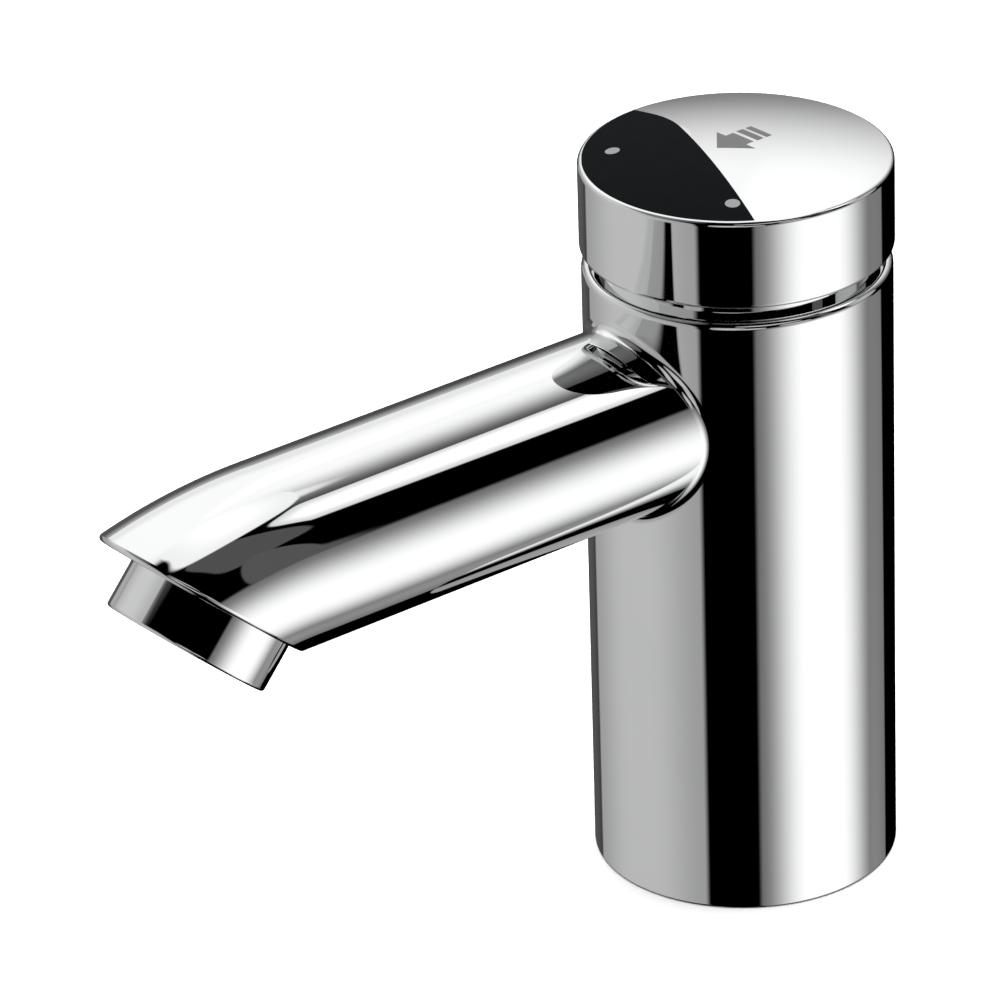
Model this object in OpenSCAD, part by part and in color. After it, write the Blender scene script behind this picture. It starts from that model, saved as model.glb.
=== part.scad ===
// Self-closing basin tap with a push cap that is also turned to set the temperature.
// Millimetres. The origin is the centre of the foot on the basin, +Z is up, the spout points along -Y.

/* [Body] */
// Diameter of the round body
body_d = 48; // [44:0.5:58]
// Height of the body from the basin to its rim
body_h = 101.8; // [84:0.1:130]
// Wall of the hollow foot
foot_wall = 3.5; // [3:0.1:4.5]
// Rounding of the body's rim
rim_edge_r = 1.2; // [0.5:0.1:1.4]
// Rounding of the foot's edge on the basin
foot_edge_r = 0.6; // [0.2:0.1:1]

/* [Spout] */
// Diameter of the straight spout
spout_d = 29.6; // [26:0.2:36]
// How far the spout's axis lies below the rim
spout_drop = 20.5; // [19:0.5:26]
// Distance from the body's axis to the start of the spout's downward curve
bend_start = 90.6; // [78:0.1:110]
// Radius of that curve, on the spout's axis
bend_r = 81; // [60:1:140]
// Bore of the water way through the spout
waterway_d = 16; // [12:0.5:18]
// Fillet where the spout leaves the body
root_fillet = 2; // [1:0.25:3]

/* [Outlet] */
// Distance from the body's axis to the outlet, where it stands on the spout's cut end
outlet_reach = 101.9; // [86:0.1:120]
// How far the outlet lies below the spout's axis
outlet_drop = 3.6; // [2:0.1:5]
// Tilt of the jet, away from straight down
outlet_tilt = 40.7; // [30:0.1:45]
// Rounding of the edge of the spout's cut end
end_edge_r = 0.7; // [0.3:0.1:1]
// Diameter of the aerator's thread
aerator_thread_d = 24; // [20:0.5:24]
// Depth of the threaded seat in the spout
aerator_seat_h = 8; // [7:0.5:9]
// How far the aerator stands out of the spout
aerator_h = 7.9; // [6:0.1:10]
// Width of the aerator's collar outside its thread
aerator_collar = 1.25; // [0.8:0.05:1.5]
// Wall of the aerator's housing inside its thread
aerator_wall = 1.55; // [1.2:0.05:2]
// Distance between the middles of the screen's cells
cell_pitch = 2.6; // [2:0.1:4]

/* [Push cap] */
// Gap between the body's rim and the cap at rest
cap_gap = 2.4; // [2.4:0.1:4]
// Height of the cap's side, up to its edge
cap_side_h = 14.4; // [11.5:0.1:18]
// How far the cap's side stands out past the body's
cap_overhang = 0.25; // [0:0.05:0.5]
// How far the cap's top bulges above its edge
cap_dome = 2.2; // [1.5:0.1:3]
// Rounding of the cap's edges
cap_edge_r = 0.8; // [0.3:0.1:0.9]
// Thickness of the cap's top at its edge
cap_top_t = 3.2; // [3:0.1:4]
// How deep the neck in the gap lies behind the body's surface
neck_recess = 2.5; // [1.6:0.1:3.4]
// Wall of the neck round the stop ring
neck_wall = 2; // [1.5:0.1:2.2]
// Travel of the cap when it is pushed
push_travel = 2; // [1.5:0.1:2]
// Turn of the cap to each side, from mixed to hot and to cold
turn_angle = 45; // [30:1:50]

/* [Inlay] */
// Depth of the black inlay in the cap's top
inlay_t = 1.4; // [1:0.1:1.6]
// Rim of the cap that is left around the inlay
inlay_rim = 0.7; // [0.6:0.1:1.5]
// Distance of the inlay's slanted edge in front of the axis
inlay_front = 5.8; // [3:0.1:6]
// Slant of that edge across the cap
inlay_slant = 23; // [10:1:23]
// Distance of the edge's level far end in front of the axis
inlay_level = -0.6; // [-2:0.1:1]
// Radius of the sweep between the two
inlay_sweep_r = 20; // [15:1:40]
// Diameter of the two temperature dots
dot_d = 2.4; // [1.8:0.1:2.4]
// Distance of the dots from the axis
dot_r = 18.8; // [18.5:0.1:20]
// Angle of each dot from the middle of the inlay
dot_angle = 45.5; // [40:0.5:46]
// Angle of the middle of the inlay from the spout
marks_turn = 3; // [-5:1:5]

/* [Inlets] */
// Height of the inlet block in the body
block_h = 14; // [13:0.5:18]
// Bore of the hose threads, M10 x 1
inlet_d = 8.92; // [8:0.02:9]
// Depth of the hose threads
inlet_depth = 10; // [8:0.5:10]
// Distance of each hose thread from the middle
inlet_x = 8.5; // [8:0.1:9]
// How far the hose threads lie in front of the axis
inlet_front = 3; // [2:0.1:4]
// Bore of the water passages above the hose threads
passage_d = 6; // [4:0.1:6.5]
// Bore of the fixing stud's thread, M8
stud_d = 6.65; // [6:0.05:7]
// Depth of the fixing stud's thread
stud_depth = 11; // [8:0.5:11]
// How far the fixing stud lies behind the axis
stud_back = 9; // [8.5:0.1:10]
// Width of the ledge that carries the inlet block
ledge_w = 2.6; // [2:0.1:3]
// Height of that ledge
ledge_h = 4; // [3:0.5:6]

/* [Cartridge] */
// Depth of the chamber from the rim to the inlet block
chamber_depth = 53.5; // [53.5:0.5:58]
// Length of the neck's thread below the rim
neck_thread_h = 7.5; // [6:0.5:8]
// Bore of the timing cylinder in the mixing rotor
cylinder_d = 24; // [20:0.5:28]
// Wall of the mixing rotor
rotor_wall = 3.4; // [3:0.1:3.6]
// Wall of the cartridge's housing
housing_wall = 2; // [1.8:0.1:2.2]
// Thickness of each ceramic disc
disc_t = 3.5; // [3:0.1:3.5]
// Thickness of the cartridge's bottom
bottom_t = 6; // [5:0.1:6]
// Height of the valve's room above the discs
valve_room_h = 9; // [9:0.1:10]
// Thickness of the valve's seat
seat_t = 3; // [2:0.1:3]
// Bore of the valve's seat
seat_d = 10; // [9:0.1:11]
// Diameter of the push stem
stem_d = 6; // [5:0.1:7.2]
// Height of the timing piston
piston_h = 5; // [4.5:0.1:5]
// Room above the piston at rest
timing_room = 2.5; // [2:0.1:3]
// Thickness of the timing cylinder's cover
cover_t = 4; // [3.5:0.1:4]
// Wire of the return spring
spring_wire_d = 1.6; // [1:0.1:1.8]
// Turns of the return spring
spring_turns = 5; // [4:1:5]
// Section of the sealing rings
seal_d = 1.5; // [1:0.1:1.6]

/* [Fits] */
// Clearance round what turns or slides
running_gap = 0.08; // [0.05:0.01:0.1]
// Clearance round what is fixed in its seat
seat_gap = 0.05; // [0.03:0.01:0.1]
// Clearance between the cap's skirt and the neck
skirt_gap = 0.5; // [0.4:0.1:0.6]
// Room between parts that stay clear of each other
clear = 1; // [0.5:0.1:1]

/* [Hidden] */
$fn = 96;
// A circle this fine stays true on a large radius
fine = 720;
// Overlap of a cut past the face that it opens
cut = 1;

chrome = [0.78, 0.79, 0.8];
brass = [0.72, 0.6, 0.33];
steel = [0.62, 0.63, 0.65];
ceramic = [0.9, 0.89, 0.86];
black_plastic = [0.06, 0.07, 0.08];
grey_plastic = [0.55, 0.56, 0.58];
white_plastic = [0.88, 0.88, 0.86];
rubber = [0.1, 0.1, 0.11];

// Heights of the body and the cap
rim_z = body_h;
spout_z = rim_z - spout_drop;
cap_z = rim_z + cap_gap;
cap_edge_z = cap_z + cap_side_h;
cap_under_z = cap_edge_z - cap_top_t;
inlay_z = cap_edge_z - inlay_t;
neck_top_z = cap_under_z - push_travel - 1.6 * clear;

// Heights of the cartridge, which hangs from the rim
housing_top_z = rim_z - neck_thread_h;
block_top_z = rim_z - chamber_depth;
block_z = block_top_z - block_h;
ledge_z = block_z - ledge_h;
discs_z = block_top_z + bottom_t;
turning_z = discs_z + disc_t;
rotor_z = turning_z + disc_t;
rotor_top_z = neck_top_z - clear;
seat_z = rotor_z + valve_room_h;
spring_z = seat_z + seat_t;
cover_top_z = rim_z - clear / 2;
cover_z = cover_top_z - cover_t;
cover_middle_z = cover_z + cover_t / 2;
piston_top_z = cover_z - timing_room;
piston_z = piston_top_z - piston_h;
window_z = spring_z + 2 * clear;
window_top_z = piston_z - push_travel - clear;

// Radii
body_r = body_d / 2;
spout_r = spout_d / 2;
foot_r = body_r - foot_wall;
cylinder_r = cylinder_d / 2;
rotor_r = cylinder_r + rotor_wall;
bore_r = rotor_r + running_gap;
housing_r = bore_r + housing_wall;
chamber_r = housing_r + seat_gap;
ledge_r = chamber_r - ledge_w;
neck_r = body_r - neck_recess;
stop_r = neck_r - neck_wall;
skirt_r = neck_r + skirt_gap;
stem_r = stem_d / 2;
passage_r = passage_d / 2;
cap_r = body_r + cap_overhang;
dome_sphere_r = (cap_r * cap_r + cap_dome * cap_dome) / (2 * cap_dome);
dome_sphere_z = cap_edge_z + cap_dome - dome_sphere_r;

// Small shapes that several pieces share

// A solid round bar, standing on z
module bar(r, z, h) {
    translate([0, 0, z]) cylinder(r = r, h = h);
}

// A tube between two radii, standing on z
module tube(r_in, r_out, z, h) {
    difference() {
        bar(r_out, z, h);
        bar(r_in, z - cut, h + 2 * cut);
    }
}

// A round sealing ring that fills a groove between two radii
module o_ring(r_in, r_out, z) {
    rotate_extrude() translate([(r_in + r_out) / 2, z]) circle(r = (r_out - r_in) / 2);
}

// Floor of the groove for a sealing ring that seals against a bore
function groove_floor(bore) = bore - seal_d + 2 * seat_gap;

// The groove for a sealing ring, cut from outside down to its floor
module outer_groove(floor_r, z) {
    tube(floor_r, floor_r + 2 * seal_d, z - seal_d / 2 - seat_gap, seal_d + 2 * seat_gap);
}

// A sealing ring in such a groove, in a bore that it is fixed in or turns in
module grooved_o_ring(floor_r, bore, gap, z) {
    color(rubber) o_ring(floor_r + seat_gap / 2, bore - gap / 2, z);
}

// What a round edge leaves of a square corner, drawn at the corner's inner end
module corner_cut(r) {
    difference() {
        square(r + cut);
        circle(r = r);
    }
}

// A solid disc with round upper and lower edges
module round_edged(r, h, low_r, high_r) {
    rotate_extrude() difference() {
        square([r, h]);
        translate([r - high_r, h - high_r]) corner_cut(high_r);
        translate([r - low_r, low_r]) mirror([0, 1]) corner_cut(low_r);
    }
}

// A sector of a tube, centred on an angle
module sector(r_in, r_out, z, h, middle, half) {
    rotate(middle - half) translate([0, 0, z]) rotate_extrude(angle = 2 * half)
        translate([r_in, 0]) square([r_out - r_in, h]);
}

// Slots through a sleeve, spread evenly, the first towards -Y
module slots(count, first, r, w, z, top) {
    for (k = [0:count - 1]) rotate(first + k * 360 / count) translate([-w / 2, -r - cut, z])
        cube([w, r + cut, top - z]);
}

// Copies at both hose threads
module at_inlets() {
    for (side = [-1, 1]) translate([side * inlet_x, -inlet_front, 0]) children();
}

// The aerator's own frame: its foot on the cut end, its jet along -Z
module at_outlet() {
    translate(outlet) rotate([-outlet_tilt, 0, 0]) children();
}

// The faces of a closed band of points: sections round it, each a ring of points
function ring_side(k, j, ring, sections) =
    let (a = k * ring + j, b = k * ring + (j + 1) % ring, up = ((k + 1) % sections) * ring)
    let (c = up + j, d = up + (j + 1) % ring)
    [[a, c, b], [b, c, d]];

// Body with its spout, one casting

// The curve goes on past the slanted end that cuts it
bend_angle = 40;

module spout_outside() {
    translate([0, 0, spout_z]) rotate([90, 0, 0]) cylinder(r = spout_r, h = bend_start);
    translate([0, -bend_start, spout_z - bend_r]) rotate([0, -90, 180])
        rotate_extrude(angle = bend_angle, $fn = fine) translate([bend_r, 0]) circle(r = spout_r, $fn = 96);
}

// Everything past the slanted end of the spout
module beyond_end() {
    reach = outlet_reach + bend_r;
    at_outlet() translate([-reach / 2, -reach / 2, -reach]) cube(reach);
}

// The edge of the slanted end follows a ball that rolls round inside it and touches spout and end.
// It stands out a little, so that its cut starts cleanly on both.
end_rise = 0.01;
end_sections = 72;
end_steps = 6;
outlet = [0, -outlet_reach, spout_z - outlet_drop];
jet = [0, -sin(outlet_tilt), -cos(outlet_tilt)];
bend_middle = [0, -bend_start, spout_z - bend_r];

// How far round the curve a line along the spout comes within a depth of its end, below 0 if it never curves.
// The line is given by its angle round the spout's axis and its distance from it.
function end_turn(a, from_axis, depth) =
    acos(min(1, ((bend_middle - outlet) * jet + depth) / (bend_r + from_axis * sin(a)))) - outlet_tilt;

// The point on that line
function end_point(a, from_axis, depth) =
    let (turn = end_turn(a, from_axis, depth), up = from_axis * sin(a))
    let (along = outlet_reach + ((up + outlet_drop) * cos(outlet_tilt) - depth) / sin(outlet_tilt))
    [from_axis * cos(a), 0, 0] + (turn > 0
        ? bend_middle + (bend_r + up) * [0, -sin(turn), cos(turn)]
        : [0, -along, spout_z + up]);

function end_section(a) =
    let (inset = end_edge_r - end_rise)
    let (ball = end_point(a, spout_r - inset, inset), turn = max(0, end_turn(a, spout_r - inset, inset)))
    let (to_side = [cos(a), -sin(a) * sin(turn), sin(a) * cos(turn)])
    let (angle = acos(to_side * jet))
    concat([ball + (end_edge_r + cut) * (to_side + jet) / (1 + to_side * jet)],
        [for (k = [0:end_steps]) let (t = k / end_steps)
            ball + end_edge_r * (sin((1 - t) * angle) * to_side + sin(t * angle) * jet) / sin(angle)]);

module beyond_end_edge() {
    ring = end_steps + 2;
    polyhedron(
        [for (k = [0:end_sections - 1]) each end_section(k * 360 / end_sections)],
        [for (k = [0:end_sections - 1], j = [0:ring - 1]) each ring_side(k, j, ring, end_sections)]);
}

// The fillet follows a ball that rolls round the spout's root and touches spout and body.
// It is sunk a little, so that its edge cuts cleanly into both.
fillet_sink = 0.03;
fillet_depth = 1.5;
fillet_sections = 72;
fillet_steps = 6;

// A point at an angle round the spout's axis, a distance from it, and a radius from the body's axis
function root_point(a, from_spout, from_body) = let (x = from_spout * cos(a))
    [x, -sqrt(from_body * from_body - x * x), spout_z + from_spout * sin(a)];

function fillet_section(a) =
    let (r = spout_r - fillet_sink, big_r = body_r - fillet_sink)
    let (ball = root_point(a, r + root_fillet, big_r + root_fillet))
    let (to_spout = [-cos(a), 0, -sin(a)], to_body = [-ball[0], -ball[1], 0] / (big_r + root_fillet))
    let (angle = acos(to_spout * to_body))
    concat([root_point(a, r - fillet_depth, big_r - fillet_depth)],
        [for (k = [0:fillet_steps]) let (t = k / fillet_steps)
            ball + root_fillet * (sin((1 - t) * angle) * to_spout + sin(t * angle) * to_body) / sin(angle)]);

module spout_root() {
    ring = fillet_steps + 2;
    polyhedron(
        [for (k = [0:fillet_sections - 1]) each fillet_section(k * 360 / fillet_sections)],
        [for (k = [0:fillet_sections - 1], j = [0:ring - 1]) each ring_side(k, j, ring, fillet_sections)]);
}

// The ring under the foot lies in the middle of its wall
deck_seal_r = body_r - foot_wall / 2;
// The water way stops short of the spout's cut end
waterway_end = outlet_reach - 4;

module tap_body() {
    color(chrome) difference() {
        union() {
            round_edged(body_r, body_h, foot_edge_r, rim_edge_r);
            difference() {
                spout_outside();
                beyond_end();
                beyond_end_edge();
            }
            spout_root();
        }
        bar(foot_r, -cut, ledge_z + cut);
        bar(ledge_r, ledge_z - cut, ledge_h + 2 * cut);
        bar(chamber_r, block_z, rim_z - block_z + cut);
        translate([0, 0, spout_z]) rotate([90, 0, 0]) cylinder(d = waterway_d, h = waterway_end);
        at_outlet() bar(aerator_thread_d / 2, -cut, aerator_seat_h + cut);
        tube(deck_seal_r - seal_d / 2 - seat_gap, deck_seal_r + seal_d / 2 + seat_gap,
            -cut, seal_d + seat_gap + cut);
    }
}

module deck_o_ring() {
    color(rubber) o_ring(deck_seal_r - seal_d / 2, deck_seal_r + seal_d / 2, (seal_d + seat_gap) / 2);
}

// Inlet block: hose threads and fixing stud, reached from below

strainer_t = 1.2;
strainer_r = inlet_d / 2 - 0.5;
face_seal_r = passage_r + seal_d;
face_seal_t = 1;
block_seal_z = block_z + block_h / 2;

module inlet_block() {
    color(brass) difference() {
        bar(housing_r, block_z, block_h);
        at_inlets() {
            bar(inlet_d / 2, block_z - cut, inlet_depth + cut);
            bar(strainer_r, block_z, inlet_depth + strainer_t);
            bar(passage_r, block_z, block_h + cut);
            bar(face_seal_r, block_top_z - face_seal_t, face_seal_t + cut);
        }
        translate([0, stud_back, 0]) bar(stud_d / 2, block_z - cut, stud_depth + cut);
        outer_groove(groove_floor(housing_r), block_seal_z);
    }
}

module block_o_ring() {
    grooved_o_ring(groove_floor(housing_r), chamber_r, seat_gap, block_seal_z);
}

// A perforated disc: one hole in the middle and two rings of holes round it
module inlet_strainers() {
    hole_r = strainer_r / 8;
    color(steel) at_inlets() difference() {
        bar(strainer_r - seat_gap, block_z + inlet_depth, strainer_t);
        for (ring = [0:2], k = [1:max(1, 6 * ring)]) rotate(k * 60 / max(1, ring))
            translate([ring * strainer_r / 3, 0, 0]) bar(hole_r, block_z, block_h);
    }
}

module inlet_seals() {
    color(rubber) at_inlets() tube(passage_r, face_seal_r - seat_gap, block_top_z - face_seal_t, face_seal_t);
}

// Neck ring: screwed into the body, clamps the cartridge and guides the cap.
// Its upper part holds the stop for the turn.

stop_z = rim_z + clear;
stop_h = 3;
lug_half = 10;
lug_middle = 90;
lug_play = 1;

module neck_ring() {
    color(chrome) difference() {
        union() {
            bar(housing_r, housing_top_z, neck_thread_h + cut);
            bar(neck_r, rim_z, neck_top_z - rim_z);
        }
        bar(bore_r, housing_top_z - cut, neck_top_z - housing_top_z + 2 * cut);
        bar(stop_r, stop_z, neck_top_z - stop_z + cut);
    }
}

// The stop ring leaves room at the back for the rotor's lug and its turn to each side
module temperature_stop_ring() {
    half = turn_angle + lug_half + lug_play;
    color(grey_plastic) difference() {
        tube(bore_r, stop_r - seat_gap, stop_z, stop_h);
        sector(bore_r - cut, stop_r + cut, stop_z - cut, stop_h + 2 * cut, lug_middle, half);
    }
}

// Cartridge: housing, bottom and the two ceramic discs

window_count = 4;
window_w = cylinder_r;
housing_groove_r = groove_floor(housing_r);
housing_seal_z = [rotor_z + 4, housing_top_z - seal_d - 0.7];

module cartridge_housing() {
    color(grey_plastic) difference() {
        tube(bore_r, housing_r, discs_z, housing_top_z - discs_z);
        slots(window_count, 0, housing_r, window_w + 2 * clear, window_z, window_top_z);
        for (z = housing_seal_z) outer_groove(housing_groove_r, z);
    }
}

module housing_o_rings() {
    for (z = housing_seal_z) grooved_o_ring(housing_groove_r, chamber_r, seat_gap, z);
}

disc_r = bore_r - 0.6;
peg_r = 1.4;
peg_h = 1.5;
// Pegs that hold the fixed disc, in front and behind
disc_peg_y = disc_r - 3.4;
// Angle of the pegs that drive the turning disc, to each side of its back
drive_peg_angle = 35;

module cartridge_bottom() {
    color(grey_plastic) {
        difference() {
            bar(housing_r, block_top_z, bottom_t);
            at_inlets() bar(passage_r, block_top_z - cut, bottom_t + 2 * cut);
        }
        for (side = [-1, 1]) translate([0, side * disc_peg_y, 0]) bar(peg_r, discs_z - cut, peg_h + cut);
    }
}

module fixed_disc() {
    color(ceramic) difference() {
        bar(disc_r, discs_z, disc_t);
        at_inlets() bar(passage_r, discs_z - cut, disc_t + 2 * cut);
        for (side = [-1, 1]) translate([0, side * disc_peg_y, 0])
            bar(peg_r + seat_gap, discs_z - cut, peg_h + seat_gap + cut);
    }
}

// Places under the middle of the rotor's wall
module at_drive_pegs() {
    for (side = [-1, 1]) rotate(90 + side * drive_peg_angle) translate([cylinder_r + rotor_wall / 2, 0, 0])
        children();
}

// The turning disc's curved port uncovers more of one inlet and less of the other
module turning_disc() {
    port_half = 65;
    color(ceramic) difference() {
        bar(disc_r, turning_z, disc_t);
        sector(inlet_x - passage_r, inlet_x + passage_r, turning_z - cut, disc_t + 2 * cut, -90, port_half);
        at_drive_pegs() bar(peg_r + seat_gap, rotor_z - peg_h - seat_gap, peg_h + seat_gap + cut);
    }
}

// Mixing rotor: turns with the cap, drives the disc and holds the valve seat and timing cylinder

rib_w = 3;
rib_count = 4;
rib_turn = 45;
slot_z = rim_z + 2 * clear;
cover_ledge = 1;
cover_seat_r = cylinder_r + cover_ledge;
circlip_t = 1.2;
circlip_depth = 0.6;
rotor_groove_r = groove_floor(bore_r);
rotor_seal_z = [rotor_z + 4, window_top_z + 2];

module mixing_rotor() {
    color(white_plastic) {
        difference() {
            bar(rotor_r, rotor_z, rotor_top_z - rotor_z);
            bar(cylinder_r, rotor_z - cut, valve_room_h + cut);
            bar(seat_d / 2, seat_z - cut, seat_t + 2 * cut);
            bar(cylinder_r, spring_z, rotor_top_z - spring_z + cut);
            bar(cover_seat_r, cover_z, rotor_top_z - cover_z + cut);
            bar(cover_seat_r + circlip_depth, cover_top_z, circlip_t + seat_gap);
            slots(window_count, 0, rotor_r, window_w, window_z, window_top_z);
            slots(rib_count, rib_turn, rotor_r, rib_w + 2 * running_gap, slot_z, rotor_top_z + cut);
            for (z = rotor_seal_z) outer_groove(rotor_groove_r, z);
        }
        sector(rotor_r - running_gap, stop_r - clear / 2, stop_z + running_gap, stop_h, lug_middle, lug_half);
        at_drive_pegs() bar(peg_r, rotor_z - peg_h, peg_h + cut);
    }
}

module rotor_o_rings() {
    for (z = rotor_seal_z) grooved_o_ring(rotor_groove_r, bore_r, running_gap, z);
}

// Timing cylinder: cover, circlip, seals and the screw that meters its closing time

cover_r = cover_seat_r - seat_gap;
cover_groove_r = groove_floor(cover_seat_r);
stem_bore_r = stem_r + running_gap;
stem_seal_d = 1.2;
screw_r = 1.5;
screw_head_h = 1.6;
screw_head_r = screw_r + 0.7;
screw_slot_w = 0.6;
screw_place = (stem_bore_r + cover_r) / 2;
needle_h = 1;

module timing_cover() {
    color(grey_plastic) difference() {
        bar(cover_r, cover_z, cover_t);
        bar(stem_bore_r, cover_z - cut, cover_t + 2 * cut);
        bar(stem_bore_r + stem_seal_d, cover_middle_z - stem_seal_d / 2 - seat_gap,
            stem_seal_d + 2 * seat_gap);
        outer_groove(cover_groove_r, cover_middle_z);
        translate([screw_place, 0, 0]) bar(screw_r, cover_z - cut, cover_t + 2 * cut);
    }
}

module cover_o_ring() {
    grooved_o_ring(cover_groove_r, cover_seat_r, seat_gap, cover_middle_z);
}

module cover_circlip() {
    w = circlip_depth - seat_gap + cover_ledge;
    opening = 30;
    color(steel) sector(cover_seat_r - cover_ledge, cover_seat_r - cover_ledge + w, cover_top_z, circlip_t,
        lug_middle, 180 - opening);
}

module stem_o_ring() {
    r_in = stem_r + running_gap / 2;
    color(rubber) o_ring(r_in, r_in + stem_seal_d, cover_middle_z);
}

// The screw's needle reaches into the timing room
module timing_screw() {
    color(brass) translate([screw_place, 0, 0]) difference() {
        union() {
            bar(screw_r - seat_gap, cover_z, cover_t + cut);
            translate([0, 0, cover_z - needle_h])
                cylinder(r1 = screw_r / 4, r2 = screw_r / 2, h = needle_h + cut);
            bar(screw_head_r, cover_top_z, screw_head_h);
        }
        translate([-screw_head_r - cut, -screw_slot_w / 2, cover_top_z + screw_head_h / 2])
            cube([2 * (screw_head_r + cut), screw_slot_w, screw_head_h]);
    }
}

// Push stem with its piston and valve

valve_t = 2;
washer_t = 1.2;
valve_screw_r = 1.25;
valve_screw_h = 7;
valve_head_h = 2;
spigot_r = stem_r - 1;
valve_z = seat_z - valve_t - running_gap;
washer_z = valve_z - washer_t;
boss_wall = 3;
boss_r = stem_r + boss_wall;
boss_z = slot_z + push_travel + clear / 2;
stem_top_z = cap_under_z - 1.5;
shoulder_w = 1.5;
shoulder_h = 1.5;
clip_wire_d = 0.8;
clip_groove_h = clip_wire_d + 2 * seat_gap;
clip_z = (boss_z + stem_top_z) / 2;

module push_stem() {
    valve_top_z = valve_z + valve_t;
    color(brass) difference() {
        union() {
            bar(spigot_r, washer_z, valve_t + washer_t + cut);
            bar(stem_r, valve_top_z, stem_top_z - valve_top_z);
            bar(stem_r + shoulder_w, piston_top_z, shoulder_h);
        }
        bar(valve_screw_r, washer_z - cut, valve_screw_h + 2 * cut);
        tube(stem_r - clip_wire_d / 2 - seat_gap, stem_r + cut, clip_z - clip_groove_h / 2, clip_groove_h);
    }
}

lip_h = 3;
lip_w = 2.2;
lip_z = piston_top_z - lip_h - 0.5;
piston_skirt_h = 2;

// The piston's narrow foot centres the spring
module timing_piston() {
    color(white_plastic) difference() {
        union() {
            bar(cylinder_r - running_gap, piston_z, piston_h);
            bar(spring_r - spring_wire_d, piston_z - piston_skirt_h, piston_skirt_h + cut);
        }
        bar(stem_r + seat_gap, piston_z - piston_skirt_h - cut, piston_h + piston_skirt_h + 2 * cut);
        tube(cylinder_r - lip_w, cylinder_r + cut, lip_z, piston_h);
    }
}

// A cup seal whose open side faces the timing room
module piston_lip_seal() {
    r_in = cylinder_r - lip_w + seat_gap;
    r_out = cylinder_r - running_gap;
    w = r_out - r_in;
    floor_h = 0.4 * lip_h;
    color(rubber) translate([0, 0, lip_z]) rotate_extrude()
        polygon([[r_in, 0], [r_out - w / 5, 0], [r_out, lip_h], [r_out - w / 4, lip_h],
            [r_in + w / 2, floor_h], [r_in + w / 4, lip_h], [r_in, lip_h]]);
}

module valve_seal() {
    lap = 2.2;
    color(rubber) tube(spigot_r + seat_gap, seat_d / 2 + lap, valve_z, valve_t);
}

module valve_washer() {
    lap = 0.8;
    color(brass) tube(spigot_r + seat_gap, seat_d / 2 + lap, washer_z, washer_t);
}

module valve_screw() {
    socket_r = valve_head_h * 0.7;
    color(steel) difference() {
        union() {
            bar(stem_r, washer_z - valve_head_h, valve_head_h);
            bar(valve_screw_r - seat_gap, washer_z - cut, valve_screw_h + cut);
        }
        translate([0, 0, washer_z - valve_head_h - cut])
            cylinder(r = socket_r, h = valve_head_h / 2 + cut, $fn = 6);
    }
}

// Return spring: one wire wound from the valve seat up to the piston

spring_r = cylinder_r - 2 * spring_wire_d;
spring_low = spring_z + spring_wire_d / 2 + seat_gap;
spring_high = piston_z - spring_wire_d / 2 - seat_gap;
spring_pitch = (spring_high - spring_low) / spring_turns;
turn_rings = 12;
wire_sides = 6;

function spring_ring(k) = let (turn = k * 360 / turn_rings, z = spring_low + k * spring_pitch / turn_rings)
    [for (j = [0:wire_sides - 1]) let (a = j * 360 / wire_sides)
        let (r = spring_r + spring_wire_d / 2 * cos(a))
        [r * cos(turn), r * sin(turn), z + spring_wire_d / 2 * sin(a)]];

module return_spring() {
    rings = spring_turns * turn_rings;
    points = [for (k = [0:rings]) each spring_ring(k)];
    sides = [for (k = [0:rings - 1], j = [0:wire_sides - 1]) each ring_side(k, j, wire_sides, rings + 1)];
    first = [for (j = [0:wire_sides - 1]) j];
    last = [for (j = [wire_sides - 1:-1:0]) rings * wire_sides + j];
    // Least distance between points a turn apart
    gap = min([for (p = spring_ring(0), q = spring_ring(turn_rings)) norm(p - q)]);
    echo(spring_least_gap = gap);
    color(steel) polyhedron(points, concat([first], sides, [last]));
}

// Push cap with its clip, black inlay and dots

// The cap's outline in section, domed, with round edges
module cap_section() {
    edge_x = cap_r - cap_edge_r;
    edge_sphere_r = dome_sphere_r - cap_edge_r;
    edge_z = dome_sphere_z + sqrt(edge_sphere_r * edge_sphere_r - edge_x * edge_x);
    tangent = [edge_x, edge_z - dome_sphere_z] * (dome_sphere_r + cut) / edge_sphere_r;
    difference() {
        intersection() {
            translate([0, cap_z]) square([cap_r, cap_side_h + cap_dome]);
            translate([0, dome_sphere_z]) circle(r = dome_sphere_r, $fn = fine);
        }
        difference() {
            polygon([[edge_x, edge_z], [cap_r + cut, edge_z], [cap_r + cut, cap_edge_z + cap_dome],
                [tangent[0], tangent[1] + dome_sphere_z]]);
            translate([edge_x, edge_z]) circle(r = cap_edge_r);
        }
        translate([edge_x, cap_z + cap_edge_r]) mirror([0, 1]) corner_cut(cap_edge_r);
    }
}

// The inlay's outline from above: the front of the cap, up to a slanted edge that sweeps level at its far end
module inlay_outline(gap) {
    far = 2 * cap_r;
    r = inlay_sweep_r - gap;
    level = inlay_level + gap;
    slanted = inlay_front + gap / cos(inlay_slant);
    corner_x = (level - slanted) / tan(inlay_slant);
    centre = [corner_x - r * tan(inlay_slant / 2), level + r];
    sweep = [for (a = [0:inlay_slant / 7:inlay_slant]) centre + r * [sin(a), -cos(a)]];
    mirror([0, 1]) intersection() {
        circle(r = cap_r - inlay_rim - gap);
        polygon(concat([[-far, level]], sweep,
            [[far, slanted + far * tan(inlay_slant)], [far, far], [-far, far]]));
    }
}

// The space under the cap's dome, for what lies flush in it
module under_dome() {
    translate([0, 0, dome_sphere_z]) sphere(r = dome_sphere_r, $fn = fine);
}

// Pins at the two dots, from a floor inside the inlay up through the dome
module dot_pins(d) {
    floor_t = 0.4;
    for (side = [-1, 1]) rotate(-90 + side * dot_angle) translate([dot_r, 0, 0])
        bar(d / 2, inlay_z + floor_t, inlay_t + cap_dome);
}

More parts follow.
